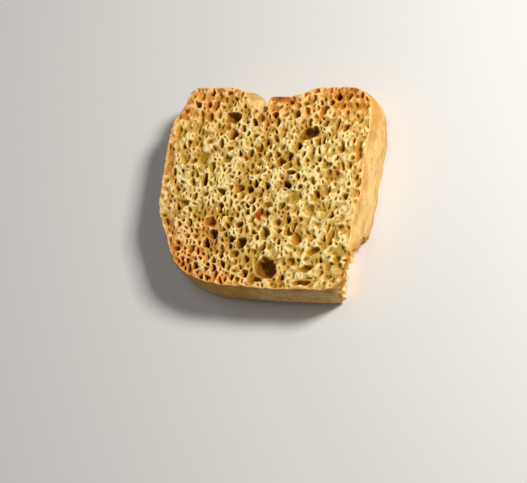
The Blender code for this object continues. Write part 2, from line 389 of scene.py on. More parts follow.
def smooth_noise(shape, cells, rng):
    """Smooth random values of unit spread on a grid. cells is the size of a blob, in grid steps."""
    weights = [spline_weights(count, cell, rng.random()) for count, cell in zip(shape, cells)]
    values = rng.standard_normal([weight.shape[1] for weight in weights]).astype(np.float32)
    for weight in weights:
        values = np.moveaxis(np.tensordot(weight, values, (1, 0)), 0, -1)
    return values / values.std()


def grain_turn(across, up):
    """The way the bubbles are stretched at a place, in degrees from +X."""
    side = across / HALF_WIDTH
    low_share = np.clip((LOW_FAN_FROM - up) / LOW_FAN_REACH, 0.0, 1.0)
    high_share = np.clip(up / HIGH_FAN_REACH, 0.0, 1.0)
    high_turn = HIGH_FAN * side * high_share * (1.0 - np.abs(side) ** 3)
    return GRAIN_UPRIGHT - LOW_FAN * side * low_share - high_turn


class Occupied:
    """A fine raster of one face that remembers where bubbles are."""

    CELL = 0.12
    EDGE_GAP = 0.35  # bubbles keep this far from the outline
    PROBES = 14  # places tried round a bubble's rim
    INNER_RING = 0.55

    def __init__(self, edge_distance):
        scale = STEP / self.CELL
        spots = []
        for count in edge_distance.shape:
            nearest = np.round(np.arange(int(count * scale)) / scale).astype(int)
            spots.append(np.minimum(nearest, count - 1))
        self.taken = edge_distance[spots[0]][:, spots[1]] > -self.EDGE_GAP
        angles = np.linspace(0, 2 * np.pi, self.PROBES, endpoint=False)
        ring = np.stack((np.cos(angles), np.sin(angles)))
        self.probe = np.concatenate((ring, self.INNER_RING * ring[:, ::2], np.zeros((2, 1))), axis=1)

    def places(self, across, up, length, width, turn, grow):
        shape = self.probe * np.array([[length / 2 + grow], [width / 2 + grow]])
        cos, sin = math.cos(turn), math.sin(turn)
        x = across + cos * shape[0] - sin * shape[1]
        y = up + sin * shape[0] + cos * shape[1]
        i = np.clip((x - low[0]) / self.CELL, 0, self.taken.shape[0] - 1).astype(int)
        j = np.clip((y - low[1]) / self.CELL, 0, self.taken.shape[1] - 1).astype(int)
        return i, j

    def is_free(self, *bubble):
        return not self.taken[self.places(*bubble, GAP)].any()

    def take(self, across, up, length, width, turn):
        reach = length / 2 + self.CELL
        i0 = int((across - reach - low[0]) / self.CELL)
        j0 = int((up - reach - low[1]) / self.CELL)
        size = int(2 * reach / self.CELL) + 2
        x = (np.arange(i0, i0 + size) * self.CELL + low[0] - across)[:, None]
        y = (np.arange(j0, j0 + size) * self.CELL + low[1] - up)[None, :]
        along, aside = lengthwise(x, y, turn)
        inside = (along / (length / 2)) ** 2 + (aside / (width / 2)) ** 2 < 1
        patch = self.taken[i0 : i0 + size, j0 : j0 + size]
        patch |= inside[: patch.shape[0], : patch.shape[1]]


def bubble_depth(length, width, luck):
    """Most bubbles are about as deep as two thirds of their width, and one in five is much deeper."""
    more = DEEP_MORE * max(0.0, luck - (1.0 - DEEP_SHARE)) / DEEP_SHARE
    depth = width * (LEAST_DEPTH + DEPTH_SPREAD * luck + more)
    return depth * (1.0 + LONG_DEEPER * min(1.0, max(0.0, length - LONG_FROM)))


def spread_bubbles(edge, rng, marked, density):
    """The marked bubbles and those that fill the ground between them, largest first."""
    occupied = Occupied(edge)
    bubbles = []
    for across, up, length, width, turn, depth, tint in marked:
        bubbles.append((across, up, length, width, math.radians(turn), depth, tint))
        occupied.take(across, up, length + MARKED_GAP, width + MARKED_GAP, math.radians(turn))
    for tries, shortest, longest in BUBBLE_SIZES:
        x = rng.uniform(*SPREAD_ACROSS, tries)
        y = rng.uniform(*SPREAD_UP, tries)
        dense = density[((x - low[0]) / STEP).astype(int), ((y - low[1]) / STEP).astype(int)]
        share = np.sort(rng.random(tries))[::-1]
        length = shortest + (longest - shortest) * share
        keep = rng.random(tries) < np.clip(KEPT + KEPT_BY_DENSITY * dense, LEAST_KEPT, 1.0)
        near_side = np.clip((np.abs(x) / HALF_WIDTH) ** 2, 0.0, 1.0)
        slender = rng.uniform(*SLENDERNESS, tries) - SLENDER_AT_SIDES * near_side
        turn = np.radians(grain_turn(x, y) + rng.normal(0.0, TURN_SPREAD, tries))
        luck = rng.random(tries)
        tint = np.clip(rng.normal(*TINT_SPREAD, tries), *TINT_LIMITS)
        for index in np.flatnonzero(keep):
            width = length[index] * slender[index]
            bubble = (x[index], y[index], length[index], width, turn[index])
            if not occupied.is_free(*bubble):
                continue
            occupied.take(*bubble)
            depth = bubble_depth(length[index], width, luck[index])
            bubbles.append((*bubble, depth, tint[index]))
    return bubbles


def wearing(deep, shape, cells, raised, most, rng):
    """Noise that only takes away: raised by so much, and cut off below nought and above most."""
    return deep * np.clip(smooth_noise(shape, cells, rng) + raised, 0.0, most)


def make_grid(outline):
    """The grid's origin and its coordinates, with a margin round the slice."""
    reach = SIDE_BULGE + MARGIN * STEP
    low = np.array((*(outline.min(0) - reach), -MARGIN * STEP))
    high = np.array((*(outline.max(0) + reach), THICKNESS + MARGIN * STEP))
    counts = np.ceil((high - low) / STEP).astype(int) + 1
    return low, [low[axis] + STEP * np.arange(counts[axis]) for axis in range(3)]


def smooth_max(first, second, radius):
    """The larger of two distances, with the edge between them rounded."""
    gap = np.maximum(radius - np.abs(first - second), 0.0)
    return np.maximum(first, second) + gap * gap / (4 * radius)


CARVE_ROOM = 1.0  # what the warp may need beyond an ellipsoid
CARVE_ROOM_UP = 0.6


def carve(field, centre, half, turn, warp):
    """Takes an ellipsoid out of the field. centre and half have three sizes, turn is about Z."""
    reach = max(half[0], half[1]) + CARVE_ROOM
    reaches = (reach, reach, half[2] + CARVE_ROOM_UP)
    spans = [np.searchsorted(axis, (c - r, c + r)) for axis, c, r in zip(axes, centre, reaches)]
    (i0, i1), (j0, j1), (k0, k1) = spans
    x = axes[0][i0:i1, None] + warp[0][i0:i1, j0:j1] - centre[0]
    y = axes[1][None, j0:j1] + warp[1][i0:i1, j0:j1] - centre[1]
    along, aside = lengthwise(x, y, turn)
    u = (along / half[0])[:, :, None]
    v = (aside / half[1])[:, :, None]
    w = ((axes[2][k0:k1] - centre[2]) / half[2])[None, None, :]
    level = np.sqrt(u * u + v * v + w * w) + 1e-6
    slope = np.sqrt((u / half[0]) ** 2 + (v / half[1]) ** 2 + (w / half[2]) ** 2) + 1e-6
    block = field[i0:i1, j0:j1, k0:k1]
    np.maximum(block, level * (1.0 - level) / slope, out=block)


FAR = 9.0  # farther than anything that counts
FOAM_REACH = 1.6  # a bubble counts this far beyond its end


def foam(bubbles, warp):
    """Maps of a cut face: the depth below it and the tint of the bubble at each place.

    Each place belongs to the bubble whose rim is nearest. Bubbles swell until the walls between
    them are thin, as gas cells do in dough.
    """
    shape = warp[0].shape
    nearest = np.full(shape, FAR)
    second = np.full(shape, FAR)
    radius = np.ones(shape)
    deep = np.zeros(shape)
    tints = np.zeros(shape)
    for across, up, length, width, turn, depth, tint in bubbles:
        reach = length / 2 + FOAM_REACH
        i0, i1 = np.searchsorted(axes[0], (across - reach, across + reach))
        j0, j1 = np.searchsorted(axes[1], (up - reach, up + reach))
        x = axes[0][i0:i1, None] + warp[0][i0:i1, j0:j1] - across
        y = axes[1][None, j0:j1] + warp[1][i0:i1, j0:j1] - up
        along, aside = lengthwise(x, y, turn)
        level = np.hypot(along * 2 / length, aside * 2 / width)
        rim = (level - 1.0) * width / 2
        patch = (slice(i0, i1), slice(j0, j1))
        closer = rim < nearest[patch]
        second[patch] = np.where(closer, nearest[patch], np.minimum(second[patch], rim))
        nearest[patch] = np.where(closer, rim, nearest[patch])
        radius[patch] = np.where(closer, width / 2, radius[patch])
        deep[patch] = np.where(closer, depth, deep[patch])
        tints[patch] = np.where(closer, tint, tints[patch])
    outside = np.maximum(nearest - SWELL, 0.5 * (WALL + nearest - second))
    hollow = np.clip(-outside / (radius + 0.5 * SWELL), 0.0, 1.0)
    crisp = ramp(radius, SOFT_RADIUS, CRISP_RADIUS)
    round_bowl = np.sqrt(1.0 - (1.0 - hollow) ** 2)
    soft_bowl = ramp(hollow, 0.0, SOFT_RIM)
    return deep * (soft_bowl + crisp * (round_bowl - soft_bowl)), tints


def surface_net(field, low):
    """Points and quads of the surface where the field is nought, one point to a cell."""
    inside = field < 0
    corners = [(i, j, k) for i in (0, 1) for j in (0, 1) for k in (0, 1)]
    shape = tuple(count - 1 for count in field.shape)

    total = np.zeros(shape, np.int8)
    for i, j, k in corners:
        total += inside[i : i + shape[0], j : j + shape[1], k : k + shape[2]]
    cells = np.argwhere((total > 0) & (total < 8))
    values = np.stack([field[tuple((cells + corner).T)] for corner in corners])
    place = np.zeros((len(cells), 3))
    weight = np.zeros(len(cells))
    for a, first in enumerate(corners):
        for b, second in enumerate(corners):
            if b <= a or sum(abs(p - q) for p, q in zip(first, second)) != 1:
                continue
            crossing = (values[a] < 0) != (values[b] < 0)
            gap = np.where(crossing, values[a] - values[b], 1.0)
            share = values[a] / gap
            spot = np.array(first) + share[:, None] * (np.array(second) - np.array(first))
            place += np.where(crossing[:, None], spot, 0.0)
            weight += crossing
    points = low + STEP * (cells + place / weight[:, None])

    number = np.full(shape, -1, np.int32)
    number[tuple(cells.T)] = np.arange(len(cells))
    quads = []
    for axis in range(3):
        others = [other for other in range(3) if other != axis]
        before = [slice(None)] * 3
        after = [slice(None)] * 3
        before[axis] = slice(0, -1)
        after[axis] = slice(1, None)
        leaving = inside[tuple(before)] & ~inside[tuple(after)]
        entering = ~inside[tuple(before)] & inside[tuple(after)]
        for crossing, flip in ((leaving, axis == 1), (entering, axis != 1)):
            spots = np.argwhere(crossing)
            ring = []
            for shift in ((0, 0), (-1, 0), (-1, -1), (0, -1)):
                cell = spots.copy()
                cell[:, others[0]] += shift[0]
                cell[:, others[1]] += shift[1]
                ring.append(number[tuple(cell.T)])
            quad = np.stack(ring, 1)
            quads.append(quad[:, ::-1] if flip else quad)
    return points, np.concatenate(quads)


def largest_body(points, quads):
    """Keeps the one connected body with the most faces and drops loose scraps."""
    label = np.arange(len(points))
    while True:
        lowest = label[quads].min(1)
        before = label.copy()
        for corner in range(4):
            np.minimum.at(label, quads[:, corner], lowest)
        label = label[label]
        if (label == before).all():
            break
    names, counts = np.unique(label[quads[:, 0]], return_counts=True)
    keep = label[quads[:, 0]] == names[counts.argmax()]
    quads = quads[keep]
    used = np.unique(quads)
    renumber = np.zeros(len(points), int)
    renumber[used] = np.arange(len(used))
    return points[used], renumber[quads]


def build_mesh(name, points, quads):
    mesh = bpy.data.meshes.new(name)
    mesh.vertices.add(len(points))
    mesh.vertices.foreach_set("co", (points * MM).astype(np.float32).ravel())
    mesh.loops.add(quads.size)
    mesh.loops.foreach_set("vertex_index", quads.astype(np.int32).ravel())
    mesh.polygons.add(len(quads))
    mesh.polygons.foreach_set("loop_start", np.arange(0, quads.size, 4, dtype=np.int32))
    mesh.polygons.foreach_set("loop_total", np.full(len(quads), 4, np.int32))
    mesh.update(calc_edges=True)
    mesh.validate()
    made = bpy.data.objects.new(name, mesh)
    bpy.context.scene.collection.objects.link(made)
    return made


def simplify(piece, most):
    """Collapses the least telling edges until at most that many triangles are left."""
    now = 2 * len(piece.data.polygons)
    if now <= most:
        return
    modifier = piece.modifiers.new("simplify", "DECIMATE")
    modifier.ratio = most / now
    modifier.use_collapse_triangulate = True
    graph = bpy.context.evaluated_depsgraph_get()
    slim = bpy.data.meshes.new_from_object(piece.evaluated_get(graph))
    piece.modifiers.clear()
    piece.data = slim


def grid_places(points):
    """Each point's place across and up, in grid steps."""
    return (points[:, 0] - axes[0][0]) / STEP, (points[:, 1] - axes[1][0]) / STEP


def sampled(grid, points):
    """Values of a flat map at each point's place across and up."""
    x, y = grid_places(points)
    i = np.clip(x.astype(int), 0, grid.shape[0] - 2)
    j = np.clip(y.astype(int), 0, grid.shape[1] - 2)
    fx = x - i
    fy = y - j
    near = grid[i, j] * (1 - fy) + grid[i, j + 1] * fy
    far = grid[i + 1, j] * (1 - fy) + grid[i + 1, j + 1] * fy
    return near * (1 - fx) + far * fx


def ramp(values, low_value, high_value):
    """A smooth rise from 0 at low_value to 1 at high_value."""
    share = np.clip((values - low_value) / (high_value - low_value), 0.0, 1.0)
    return share * share * (3 - 2 * share)


def patches(across, up, rows):
    """The sum of soft round patches, each given as across, up, radius, strength."""
    return sum(
        strength * np.exp(-((across - x) ** 2 + (up - y) ** 2) / radius**2)
        for x, y, radius, strength in rows
    )


def wall_offset(heights, lean):
    """How far the wall stands out from the outline at each height, where the foot leans out by lean."""
    shares = np.asarray(heights) / THICKNESS
    leaning = lean * np.interp(shares, WALL_SHARES, WALL_LEAN)
    return np.interp(shares, WALL_SHARES, WALL_OFFSETS) + leaning


def lean_map(across, up):
    """How far the foot of the wall leans out at each place."""
    fade = np.clip((across - LEAN_ACROSS[0]) / (LEAN_ACROSS[1] - LEAN_ACROSS[0]), 0.0, 1.0)
    return fade * np.interp(up, LEAN_UP, LEAN_OUT)


def ball_distance(centre, half, turn):
    """Roughly the signed distance to an ellipsoid, turned about Z by turn degrees, at each place."""
    x = (axes[0] - centre[0])[:, None]
    y = (axes[1] - centre[1])[None, :]
    along, aside = lengthwise(x, y, math.radians(turn))
    u = (along / half[0])[:, :, None]
    v = (aside / half[1])[:, :, None]
    w = ((axes[2] - centre[2]) / half[2])[None, None, :]
    return (np.sqrt(u * u + v * v + w * w) - 1.0) * min(half)


def slice_field(edge, lean, depths, rng):
    """Signed distances to the slice: its wall, its two pitted faces and the rounding between them."""
    heights = axes[2][None, None, :]
    wall = edge[:, :, None] - wall_offset(heights, lean[:, :, None])
    wall += SKIN + wearing(WAVES_DEEP, wall.shape, *WAVES, rng)
    near_face = ramp(np.minimum(THICKNESS - heights, heights), *CRUMBLING_NEAR)
    wall += wearing(CRUMBS_DEEP * near_face, wall.shape, *CRUMBS, rng)
    wall = -smooth_max(-wall, -ball_distance(*NOTCH_FILL), NOTCH_ROUND)
    top = heights - (THICKNESS - SKIN - depths[SHOWN][:, :, None])
    under = SKIN + depths[UNDERSIDE][:, :, None] - heights
    return smooth_max(wall, np.maximum(top, under), WALL_ROUND).astype(np.float32)


def pitted_face(across, up, edge, marked, density, warp, rng):
    """Maps of one cut face: its depth below the flat face and the tint of each place's bubble."""
    bubbles = spread_bubbles(edge, rng, marked, density)
    depth, tint = foam(bubbles, warp)
    depth *= 1.0 + patches(across, up, DEPTH_PATCHES)
    depth *= 1.0 + patches(across, up, RIGHT_DEPTH_PATCHES)
    depth *= 1.0 + DEPTH_UNEVEN * smooth_noise(edge.shape, (3, 3), rng)
    left_border = ramp(edge, *LEFT_BORDER_EDGE) * ramp(across, *LEFT_BORDER_ACROSS)
    depth *= 1.0 - LEFT_BORDER_SHALLOWER * left_border
    worn = sum(wearing(deep, edge.shape, *noise_form, rng) for deep, *noise_form in WORN)
    return ramp(-edge, *RIM_RISE) * (depth + worn), tint


def carve_large_bubbles(field, warp):
    """Carves the deepest of the placed bubbles as ellipsoids."""
    for across, up, length, width, turn, depth, _ in MARKED_BUBBLES:
        if depth > BALL_FROM:
            place = (across, up, THICKNESS + BALL_RISE * depth)
            half = (length / 2, width / 2, BALL_DEPTH * depth)
            carve(field, place, half, math.radians(turn), warp)


def break_corner(field, warp, rng):
    """Takes the broken corner out of the field and roughens the break."""
    ragged = [BREAK_WARP * shifts for shifts in warp]
    for place, half in CHIPS:
        carve(field, place, half, 0.0, ragged)
    rough = wearing(BREAK_DEEP, field.shape, *BREAK_CRUMBS, rng)
    rough += BREAK_PITS * ramp(smooth_noise(field.shape, BREAK_PIT_CELLS, rng), *BREAK_PIT_LEVELS)
    for place, half in CHIPS:
        near_break = np.abs(ball_distance(place, half, 0.0)) < BREAK_REACH
        field += np.where(near_break, rough, 0.0).astype(np.float32)


def carve_slice():
    """The slice's surface as points and quads, and the maps that its colours need."""
    rng = np.random.default_rng(SEED)
    across, up = np.meshgrid(axes[0], axes[1], indexing="ij")
    edge, run = outline_field(outline, across, up)
    warp = [
        sum(shift * smooth_noise(edge.shape, (cell, cell), rng) for shift, cell in RIM_SHIFTS)
        for _ in range(2)
    ]
    density = DENSITY_SPREAD * smooth_noise(edge.shape, DENSITY_CELLS, rng) - DENSITY_LESS
    density = density + patches(across, up, DENSITY_PATCHES)
    lean = lean_map(across, up)
    depths = {}
    tints = {}
    for side, marked in ((SHOWN, MARKED_BUBBLES), (UNDERSIDE, ())):
        depths[side], tints[side] = pitted_face(across, up, edge, marked, density, warp, rng)

    field = slice_field(edge, lean, depths, rng)
    carve_large_bubbles(field, warp)
    break_corner(field, warp, rng)
    points, quads = largest_body(*surface_net(field, low))
    return points, quads, {"edge": edge, "run": run, "lean": lean, "tints": tints}


def mesh_points(mesh):
    """The mesh's points in millimetres, in the outline's frame."""
    points = np.empty(len(mesh.vertices) * 3, np.float32)
    mesh.vertices.foreach_get("co", points)
    points = points.reshape(-1, 3).astype(float) / MM
    points[:, :2] += middle
    return points


def wall_depth(points, maps):
    """How deep each point is under the crust wall."""
    lean = sampled(maps["lean"], points)
    return wall_offset(points[:, 2], lean) - sampled(maps["edge"], points)


def break_nearness(points):
    """How surely each point is on the break, 0 to 1, and how far the break has cut past it."""
    broken = np.zeros(len(points))
    depth = np.full(len(points), FAR)
    for place, half in CHIPS:
        level = np.sqrt((((points - place) / half) ** 2).sum(1))
        broken = np.maximum(broken, ramp(level, *BREAK_LEVELS))
        depth = np.minimum(depth, (level - 1.0) * min(half))
    return broken, np.clip(depth - BREAK_SKIN, 0.0, BREAK_DEEPEST)


def toasting_and_painted_light(points, edge, depth, wall):
    """How darkly each point is toasted, 0 to 1, with patches of painted light and painted shade."""
    across, up = points[:, 0], points[:, 1]
    toasted_and_painted_light = BORDER_TOASTED * ramp(edge, *BORDER_EDGE) + patches(across, up, TOASTED_PATCHES)
    near_face = ramp(depth, *WALL_TOASTED_DEPTHS)
    toasted_and_painted_light += wall * (WALL_TOASTED * near_face + patches(across, up, WALL_TOASTED_PATCHES))
    left_rim = ramp(edge, *PALE_LEFT_EDGE) * ramp(across, *PALE_LEFT_ACROSS) * ramp(up, *PALE_LEFT_UP)
    return np.clip(toasted_and_painted_light - PALE_LEFT * left_rim, 0, 1)


def fleck_map(across, up):
    """The bran fleck and the rosier patches, 0 to 1."""
    fleck_across, fleck_up, length, width, turn = FLECK
    along, aside = lengthwise(across - fleck_across, up - fleck_up, math.radians(turn))
    fleck = ramp(np.hypot(along * 2 / length, aside * 2 / width), *FLECK_EDGE)
    for rosy in ROSY_PATCHES:
        fleck = np.maximum(fleck, patches(across, up, (rosy,)))
    return fleck


def dress_mesh(mesh, points, maps):
    """Writes what the colours need on the mesh: depth, which drives painted shade, tint, wall, break,
    toasting with its painted light and shade, and fleck.
    """
    edge = sampled(maps["edge"], points)
    height = points[:, 2]
    shown = height > THICKNESS / 2
    depth = np.where(shown, THICKNESS - height, height)
    wall = ramp(wall_depth(points, maps), *CRUST_UNDER) * ramp(depth, *CRUST_BELOW)
    broken, break_depth = break_nearness(points)
    # On the break the depth is how far it has cut in, so the painted shade darkens its deeper parts
    depth = depth * (1 - broken) + broken * break_depth
    tints = [sampled(maps["tints"][side], points) for side in (SHOWN, UNDERSIDE)]
    values = {
        # depth drives the crumb's painted shade; the crust gets none
        "depth": np.where(wall > 0.5, 0.0, depth),
        "tint": np.where(shown, *tints),
        "wall": wall,
        "broken": broken,
        "toasted_and_painted_light": toasting_and_painted_light(points, edge, depth, wall),
        "fleck": shown * fleck_map(points[:, 0], points[:, 1]),
    }
    for name, data in values.items():
        attribute = mesh.attributes.new(name, "FLOAT", "POINT")
        attribute.data.foreach_set("value", data.astype(np.float32))


# What belongs to the wall on the flat map: its outer shell, where it is steep, and all that lies
# deep below the faces near the wall
SHELL = 0.9
SHELL_FROM = 0.35  # this far below a face
STEEP = 0.8  # most that a normal points up or down
DEEP_SHELL = 3.0
MAP_GAP = 2.0


def map_faces(mesh, points, maps):
    """A flat map for each cut face, side by side, and the wall unrolled in two rows above them."""
    loops = np.empty(len(mesh.loops), np.int32)
    mesh.loops.foreach_get("vertex_index", loops)
    corners = points[loops.reshape(-1, 3)]
    centre = corners.mean(1)
    depth = np.minimum(THICKNESS - centre[:, 2], centre[:, 2])
    normal = np.cross(corners[:, 1] - corners[:, 0], corners[:, 2] - corners[:, 0])
    normal /= np.linalg.norm(normal, axis=1, keepdims=True) + 1e-12
    under_wall = wall_depth(centre, maps)
    on_wall = (under_wall < SHELL) & (depth > SHELL_FROM) & (np.abs(normal[:, 2]) < STEEP)
    on_wall |= (under_wall < DEEP_SHELL) & (depth > DEEP_SHELL)

    width, height = (outline.max(0) - outline.min(0)) + 4 * SIDE_BULGE
    page = 2 * width + 3 * MAP_GAP
    across = corners[:, :, 0] - middle[0]
    up = corners[:, :, 1] - middle[1]
    shown = (centre[:, 2] > THICKNESS / 2)[:, None]
    u = np.where(shown, across + width / 2 + MAP_GAP, 1.5 * width + 2 * MAP_GAP - across)
    v = up + height / 2 + MAP_GAP

    total = np.linalg.norm(np.roll(outline, -1, 0) - outline, axis=1).sum()
    run = sampled_run(maps["run"], corners, total)
    row = (centre_run(maps["run"], centre) > total / 2).astype(int)[:, None]
    row_height = THICKNESS + 3 * MAP_GAP
    rows_foot = height + 3 * MAP_GAP
    run_u = 2 * MAP_GAP + (run - row * total / 2) * (page - 4 * MAP_GAP) / (total / 2)
    run_v = rows_foot + row * row_height + corners[:, :, 2]
    u = np.where(on_wall[:, None], run_u, u)
    v = np.where(on_wall[:, None], run_v, v)
    layer = mesh.uv_layers.new(name="OFBake")
    places = np.stack((u / page, v / (rows_foot + 2 * row_height)), -1).astype(np.float32)
    layer.data.foreach_set("uv", places.ravel())


def centre_run(run, places):
    """The distance run along the outline at the nearest grid place, which doesn't blend over its seam."""
    x, y = grid_places(places)
    i = np.clip(np.round(x).astype(int), 0, run.shape[0] - 1)
    j = np.clip(np.round(y).astype(int), 0, run.shape[1] - 1)
    return run[i, j]


def sampled_run(run, corners, total):
    """The run at each corner of each triangle, unwrapped about the run at its middle."""
    base = centre_run(run, corners.mean(1))
    found = np.stack([centre_run(run, corners[:, index]) for index in range(3)], 1)
    away = found - base[:, None]
    return base[:, None] + away - total * np.round(away / total)


# The material

def socket_value(tree, name):
    """The value that dress_mesh wrote on the mesh under a name."""
    node = tree.nodes.new("ShaderNodeAttribute")
    node.attribute_name = name
    return node.outputs["Fac"]


def math_node(tree, operation, first, second, clamp=False):
    """The first value and the second, a socket or a number, put together."""
    node = tree.nodes.new("ShaderNodeMath")
    node.operation = operation
    node.use_clamp = clamp
    tree.links.new(first, node.inputs[0])
    if isinstance(second, float):
        node.inputs[1].default_value = second
    else:
        tree.links.new(second, node.inputs[1])
    return node.outputs[0]


def stretch(tree, value, from_low, from_high, to_low=0.0, to_high=1.0):
    """A smooth rise from to_low to to_high as the value goes from from_low to from_high."""
    node = tree.nodes.new("ShaderNodeMapRange")
    node.interpolation_type = "SMOOTHSTEP"
    tree.links.new(value, node.inputs["Value"])
    node.inputs["From Min"].default_value = from_low
    node.inputs["From Max"].default_value = from_high
    node.inputs["To Min"].default_value = to_low
    node.inputs["To Max"].default_value = to_high
    return node.outputs["Result"]


def mix_colour(tree, amount, first, second):
    """The first colour, with the second mixed in by the amount. Each is a socket or three numbers."""
    node = tree.nodes.new("ShaderNodeMix")
    node.data_type = "RGBA"
    tree.links.new(amount, node.inputs[0])
    for slot, value in ((6, first), (7, second)):
        if isinstance(value, tuple):
            node.inputs[slot].default_value = (*value, 1.0)
        else:
            tree.links.new(value, node.inputs[slot])
    return node.outputs[2]


def noise(tree, places, scale, detail, roughness):
    """Smooth noise with so many blobs to a metre."""
    node = tree.nodes.new("ShaderNodeTexNoise")
    tree.links.new(places, node.inputs["Vector"])
    node.inputs["Scale"].default_value = scale
    node.inputs["Detail"].default_value = detail
    node.inputs["Roughness"].default_value = roughness
    return node.outputs["Fac"]


def stretched_noise(tree, places, form, values):
    """Noise of one form (scale, detail, roughness), stretched from two of its values to two others."""
    return stretch(tree, noise(tree, places, *form), *values)


def vector_math(tree, operation, vector, second):
    """The vector multiplied by three numbers, or scaled by the value of a socket."""
    node = tree.nodes.new("ShaderNodeVectorMath")
    node.operation = operation
    tree.links.new(vector, node.inputs[0])
    if isinstance(second, tuple):
        node.inputs[1].default_value = second
    else:
        tree.links.new(second, node.inputs["Scale"])
    return node.outputs[0]


def linear(red, green, blue):
    """A colour as it shows on screen, 0 to 255, as linear light."""
    shares = [value / 255 for value in (red, green, blue)]
    return tuple(s / 12.92 if s <= 0.04045 else ((s + 0.055) / 1.055) ** 2.4 for s in shares)


# Crumb colours, crest to deepest hollow: partly painted highlight on the ridges, painted shade below
PALE_RIDGE_HIGHLIGHT = linear(252, 229, 161)
TAN_RIDGE_HIGHLIGHT = linear(253, 205, 123)
PALE_SLOPE_SHADE = linear(213, 174, 93)
TAN_SLOPE_SHADE = linear(228, 151, 64)
HOLLOW_SHADE_BROWN = linear(174, 126, 20)
HOLLOW_SHADE_OLIVE = linear(172, 138, 50)
HOLLOW_SHADE_ORANGE = linear(190, 122, 38)
HOLLOW_SHADE_TOASTED = linear(172, 92, 6)
DEEP_SHADE_BROWN = linear(126, 67, 4)
DEEPEST_SHADE_BROWN = linear(122, 78, 16)
PIT_SHADE_BROWN = linear(170, 118, 38)
CRUST_GOLD = linear(217, 183, 121)
CRUST_STREAK = linear(191, 148, 83)
CRUST_TAN = linear(191, 141, 74)
BROKEN_TAN = linear(230, 172, 96)
FLECK_SHADE_BROWN = linear(150, 64, 12)
FLECK_PINK = linear(250, 160, 104)
BRAN = linear(150, 92, 44)


# Each noise: its blobs to a metre, detail and roughness, then two of its values and what they become
BLOTCHES = ((110.0, 3.0, 0.55), (0.35, 0.75, -0.25, 0.35))
PAINTED_PIT_SHADE = ((1000.0, 1.0, 0.55), (0.55, 0.70, 0.0, 0.5))
MOTTLE = ((300.0, 4.0, 0.65), (0.42, 0.72, 0.0, 1.0))
STREAKS = ((900.0, 3.0, 0.6), (0.48, 0.66, 0.0, 0.75))
SPECKS = ((700.0, 1.0, 0.55), (0.70, 0.76, 0.0, 0.6))
GRAIN = ((1500.0, 2.0, 0.55), (0.3, 0.7, 0.9, 1.06))
ROUGHNESS = ((500.0, 3.0, 0.55), (0.3, 0.7, 0.72, 0.92))
BUMPS = (2600.0, 3.0, 0.55)
BUMP_STRENGTH = 0.2
BUMP_HEIGHT = 0.00012
SHEEN = 0.12

# How the noises of the crust are drawn out along it
MOTTLE_DRAWN = (1.0, 0.3, 0.8)
STREAKS_DRAWN = (1.0, 0.16, 1.0)

# Depths in millimetres between which the crumb, or the fleck, darkens into its next colour by painted
# shade
CRUMB_SHADE_DEPTHS = ((0.07, 0.48), (0.4, 1.1), (1.0, 2.8), (2.6, 4.2))
FLECK_SHADE_DEPTHS = (0.15, 0.6)

# What the tint and the toasting, with its patches of painted light and shade, do to a place's colours:
# from, to, and how much is mixed in
ORANGE_TINT = (0.0, 0.7)
OLIVE_TINT = (0.0, -0.7)
HOLLOWS_TOASTED = (0.2, 1.0, 0.0, 0.7)
CRUST_TOASTED = (0.55, 1.0, 0.0, 0.8)

BREAK_TAN_SHARE = 0.3  # how much tan is mixed in on the break


def crumb_colour(tree, places, depth, toasted_and_painted_light):
    """Pale ridges with a painted highlight, then tan slopes and browner hollows in painted shade, the
    deeper the darker, with fine pits painted as spots of shade.
    """
    tint = socket_value(tree, "tint")
    hollow = mix_colour(tree, stretch(tree, tint, *ORANGE_TINT), HOLLOW_SHADE_BROWN, HOLLOW_SHADE_ORANGE)
    hollow = mix_colour(tree, stretch(tree, tint, *OLIVE_TINT), hollow, HOLLOW_SHADE_OLIVE)
    hollow = mix_colour(tree, stretch(tree, toasted_and_painted_light, *HOLLOWS_TOASTED), hollow, HOLLOW_SHADE_TOASTED)
    crumb = mix_colour(tree, toasted_and_painted_light, PALE_RIDGE_HIGHLIGHT, TAN_RIDGE_HIGHLIGHT)
    slope = mix_colour(tree, toasted_and_painted_light, PALE_SLOPE_SHADE, TAN_SLOPE_SHADE)
    for depths, colour in zip(CRUMB_SHADE_DEPTHS, (slope, hollow, DEEP_SHADE_BROWN, DEEPEST_SHADE_BROWN)):
        crumb = mix_colour(tree, stretch(tree, depth, *depths), crumb, colour)
    # fine pits painted as brown spots: painted shade of pits too small to carve
    crumb = mix_colour(tree, stretched_noise(tree, places, *PAINTED_PIT_SHADE), crumb, PIT_SHADE_BROWN)
    broken = math_node(tree, "MULTIPLY", socket_value(tree, "broken"), BREAK_TAN_SHARE)
    return mix_colour(tree, broken, crumb, BROKEN_TAN)


def crust_colour(tree, places, toasted_and_painted_light):
    """Smooth gold with tan mottle and streaks along the wall, and the toasting map's patches of painted
    light and shade.
    """
    mottle = stretched_noise(tree, vector_math(tree, "MULTIPLY", places, MOTTLE_DRAWN), *MOTTLE)
    tanned = stretch(tree, toasted_and_painted_light, *CRUST_TOASTED)
    browned = math_node(tree, "ADD", mottle, tanned, clamp=True)
    crust = mix_colour(tree, browned, CRUST_GOLD, CRUST_TAN)
    streaks = stretched_noise(tree, vector_math(tree, "MULTIPLY", places, STREAKS_DRAWN), *STREAKS)
    return mix_colour(tree, streaks, crust, CRUST_STREAK)


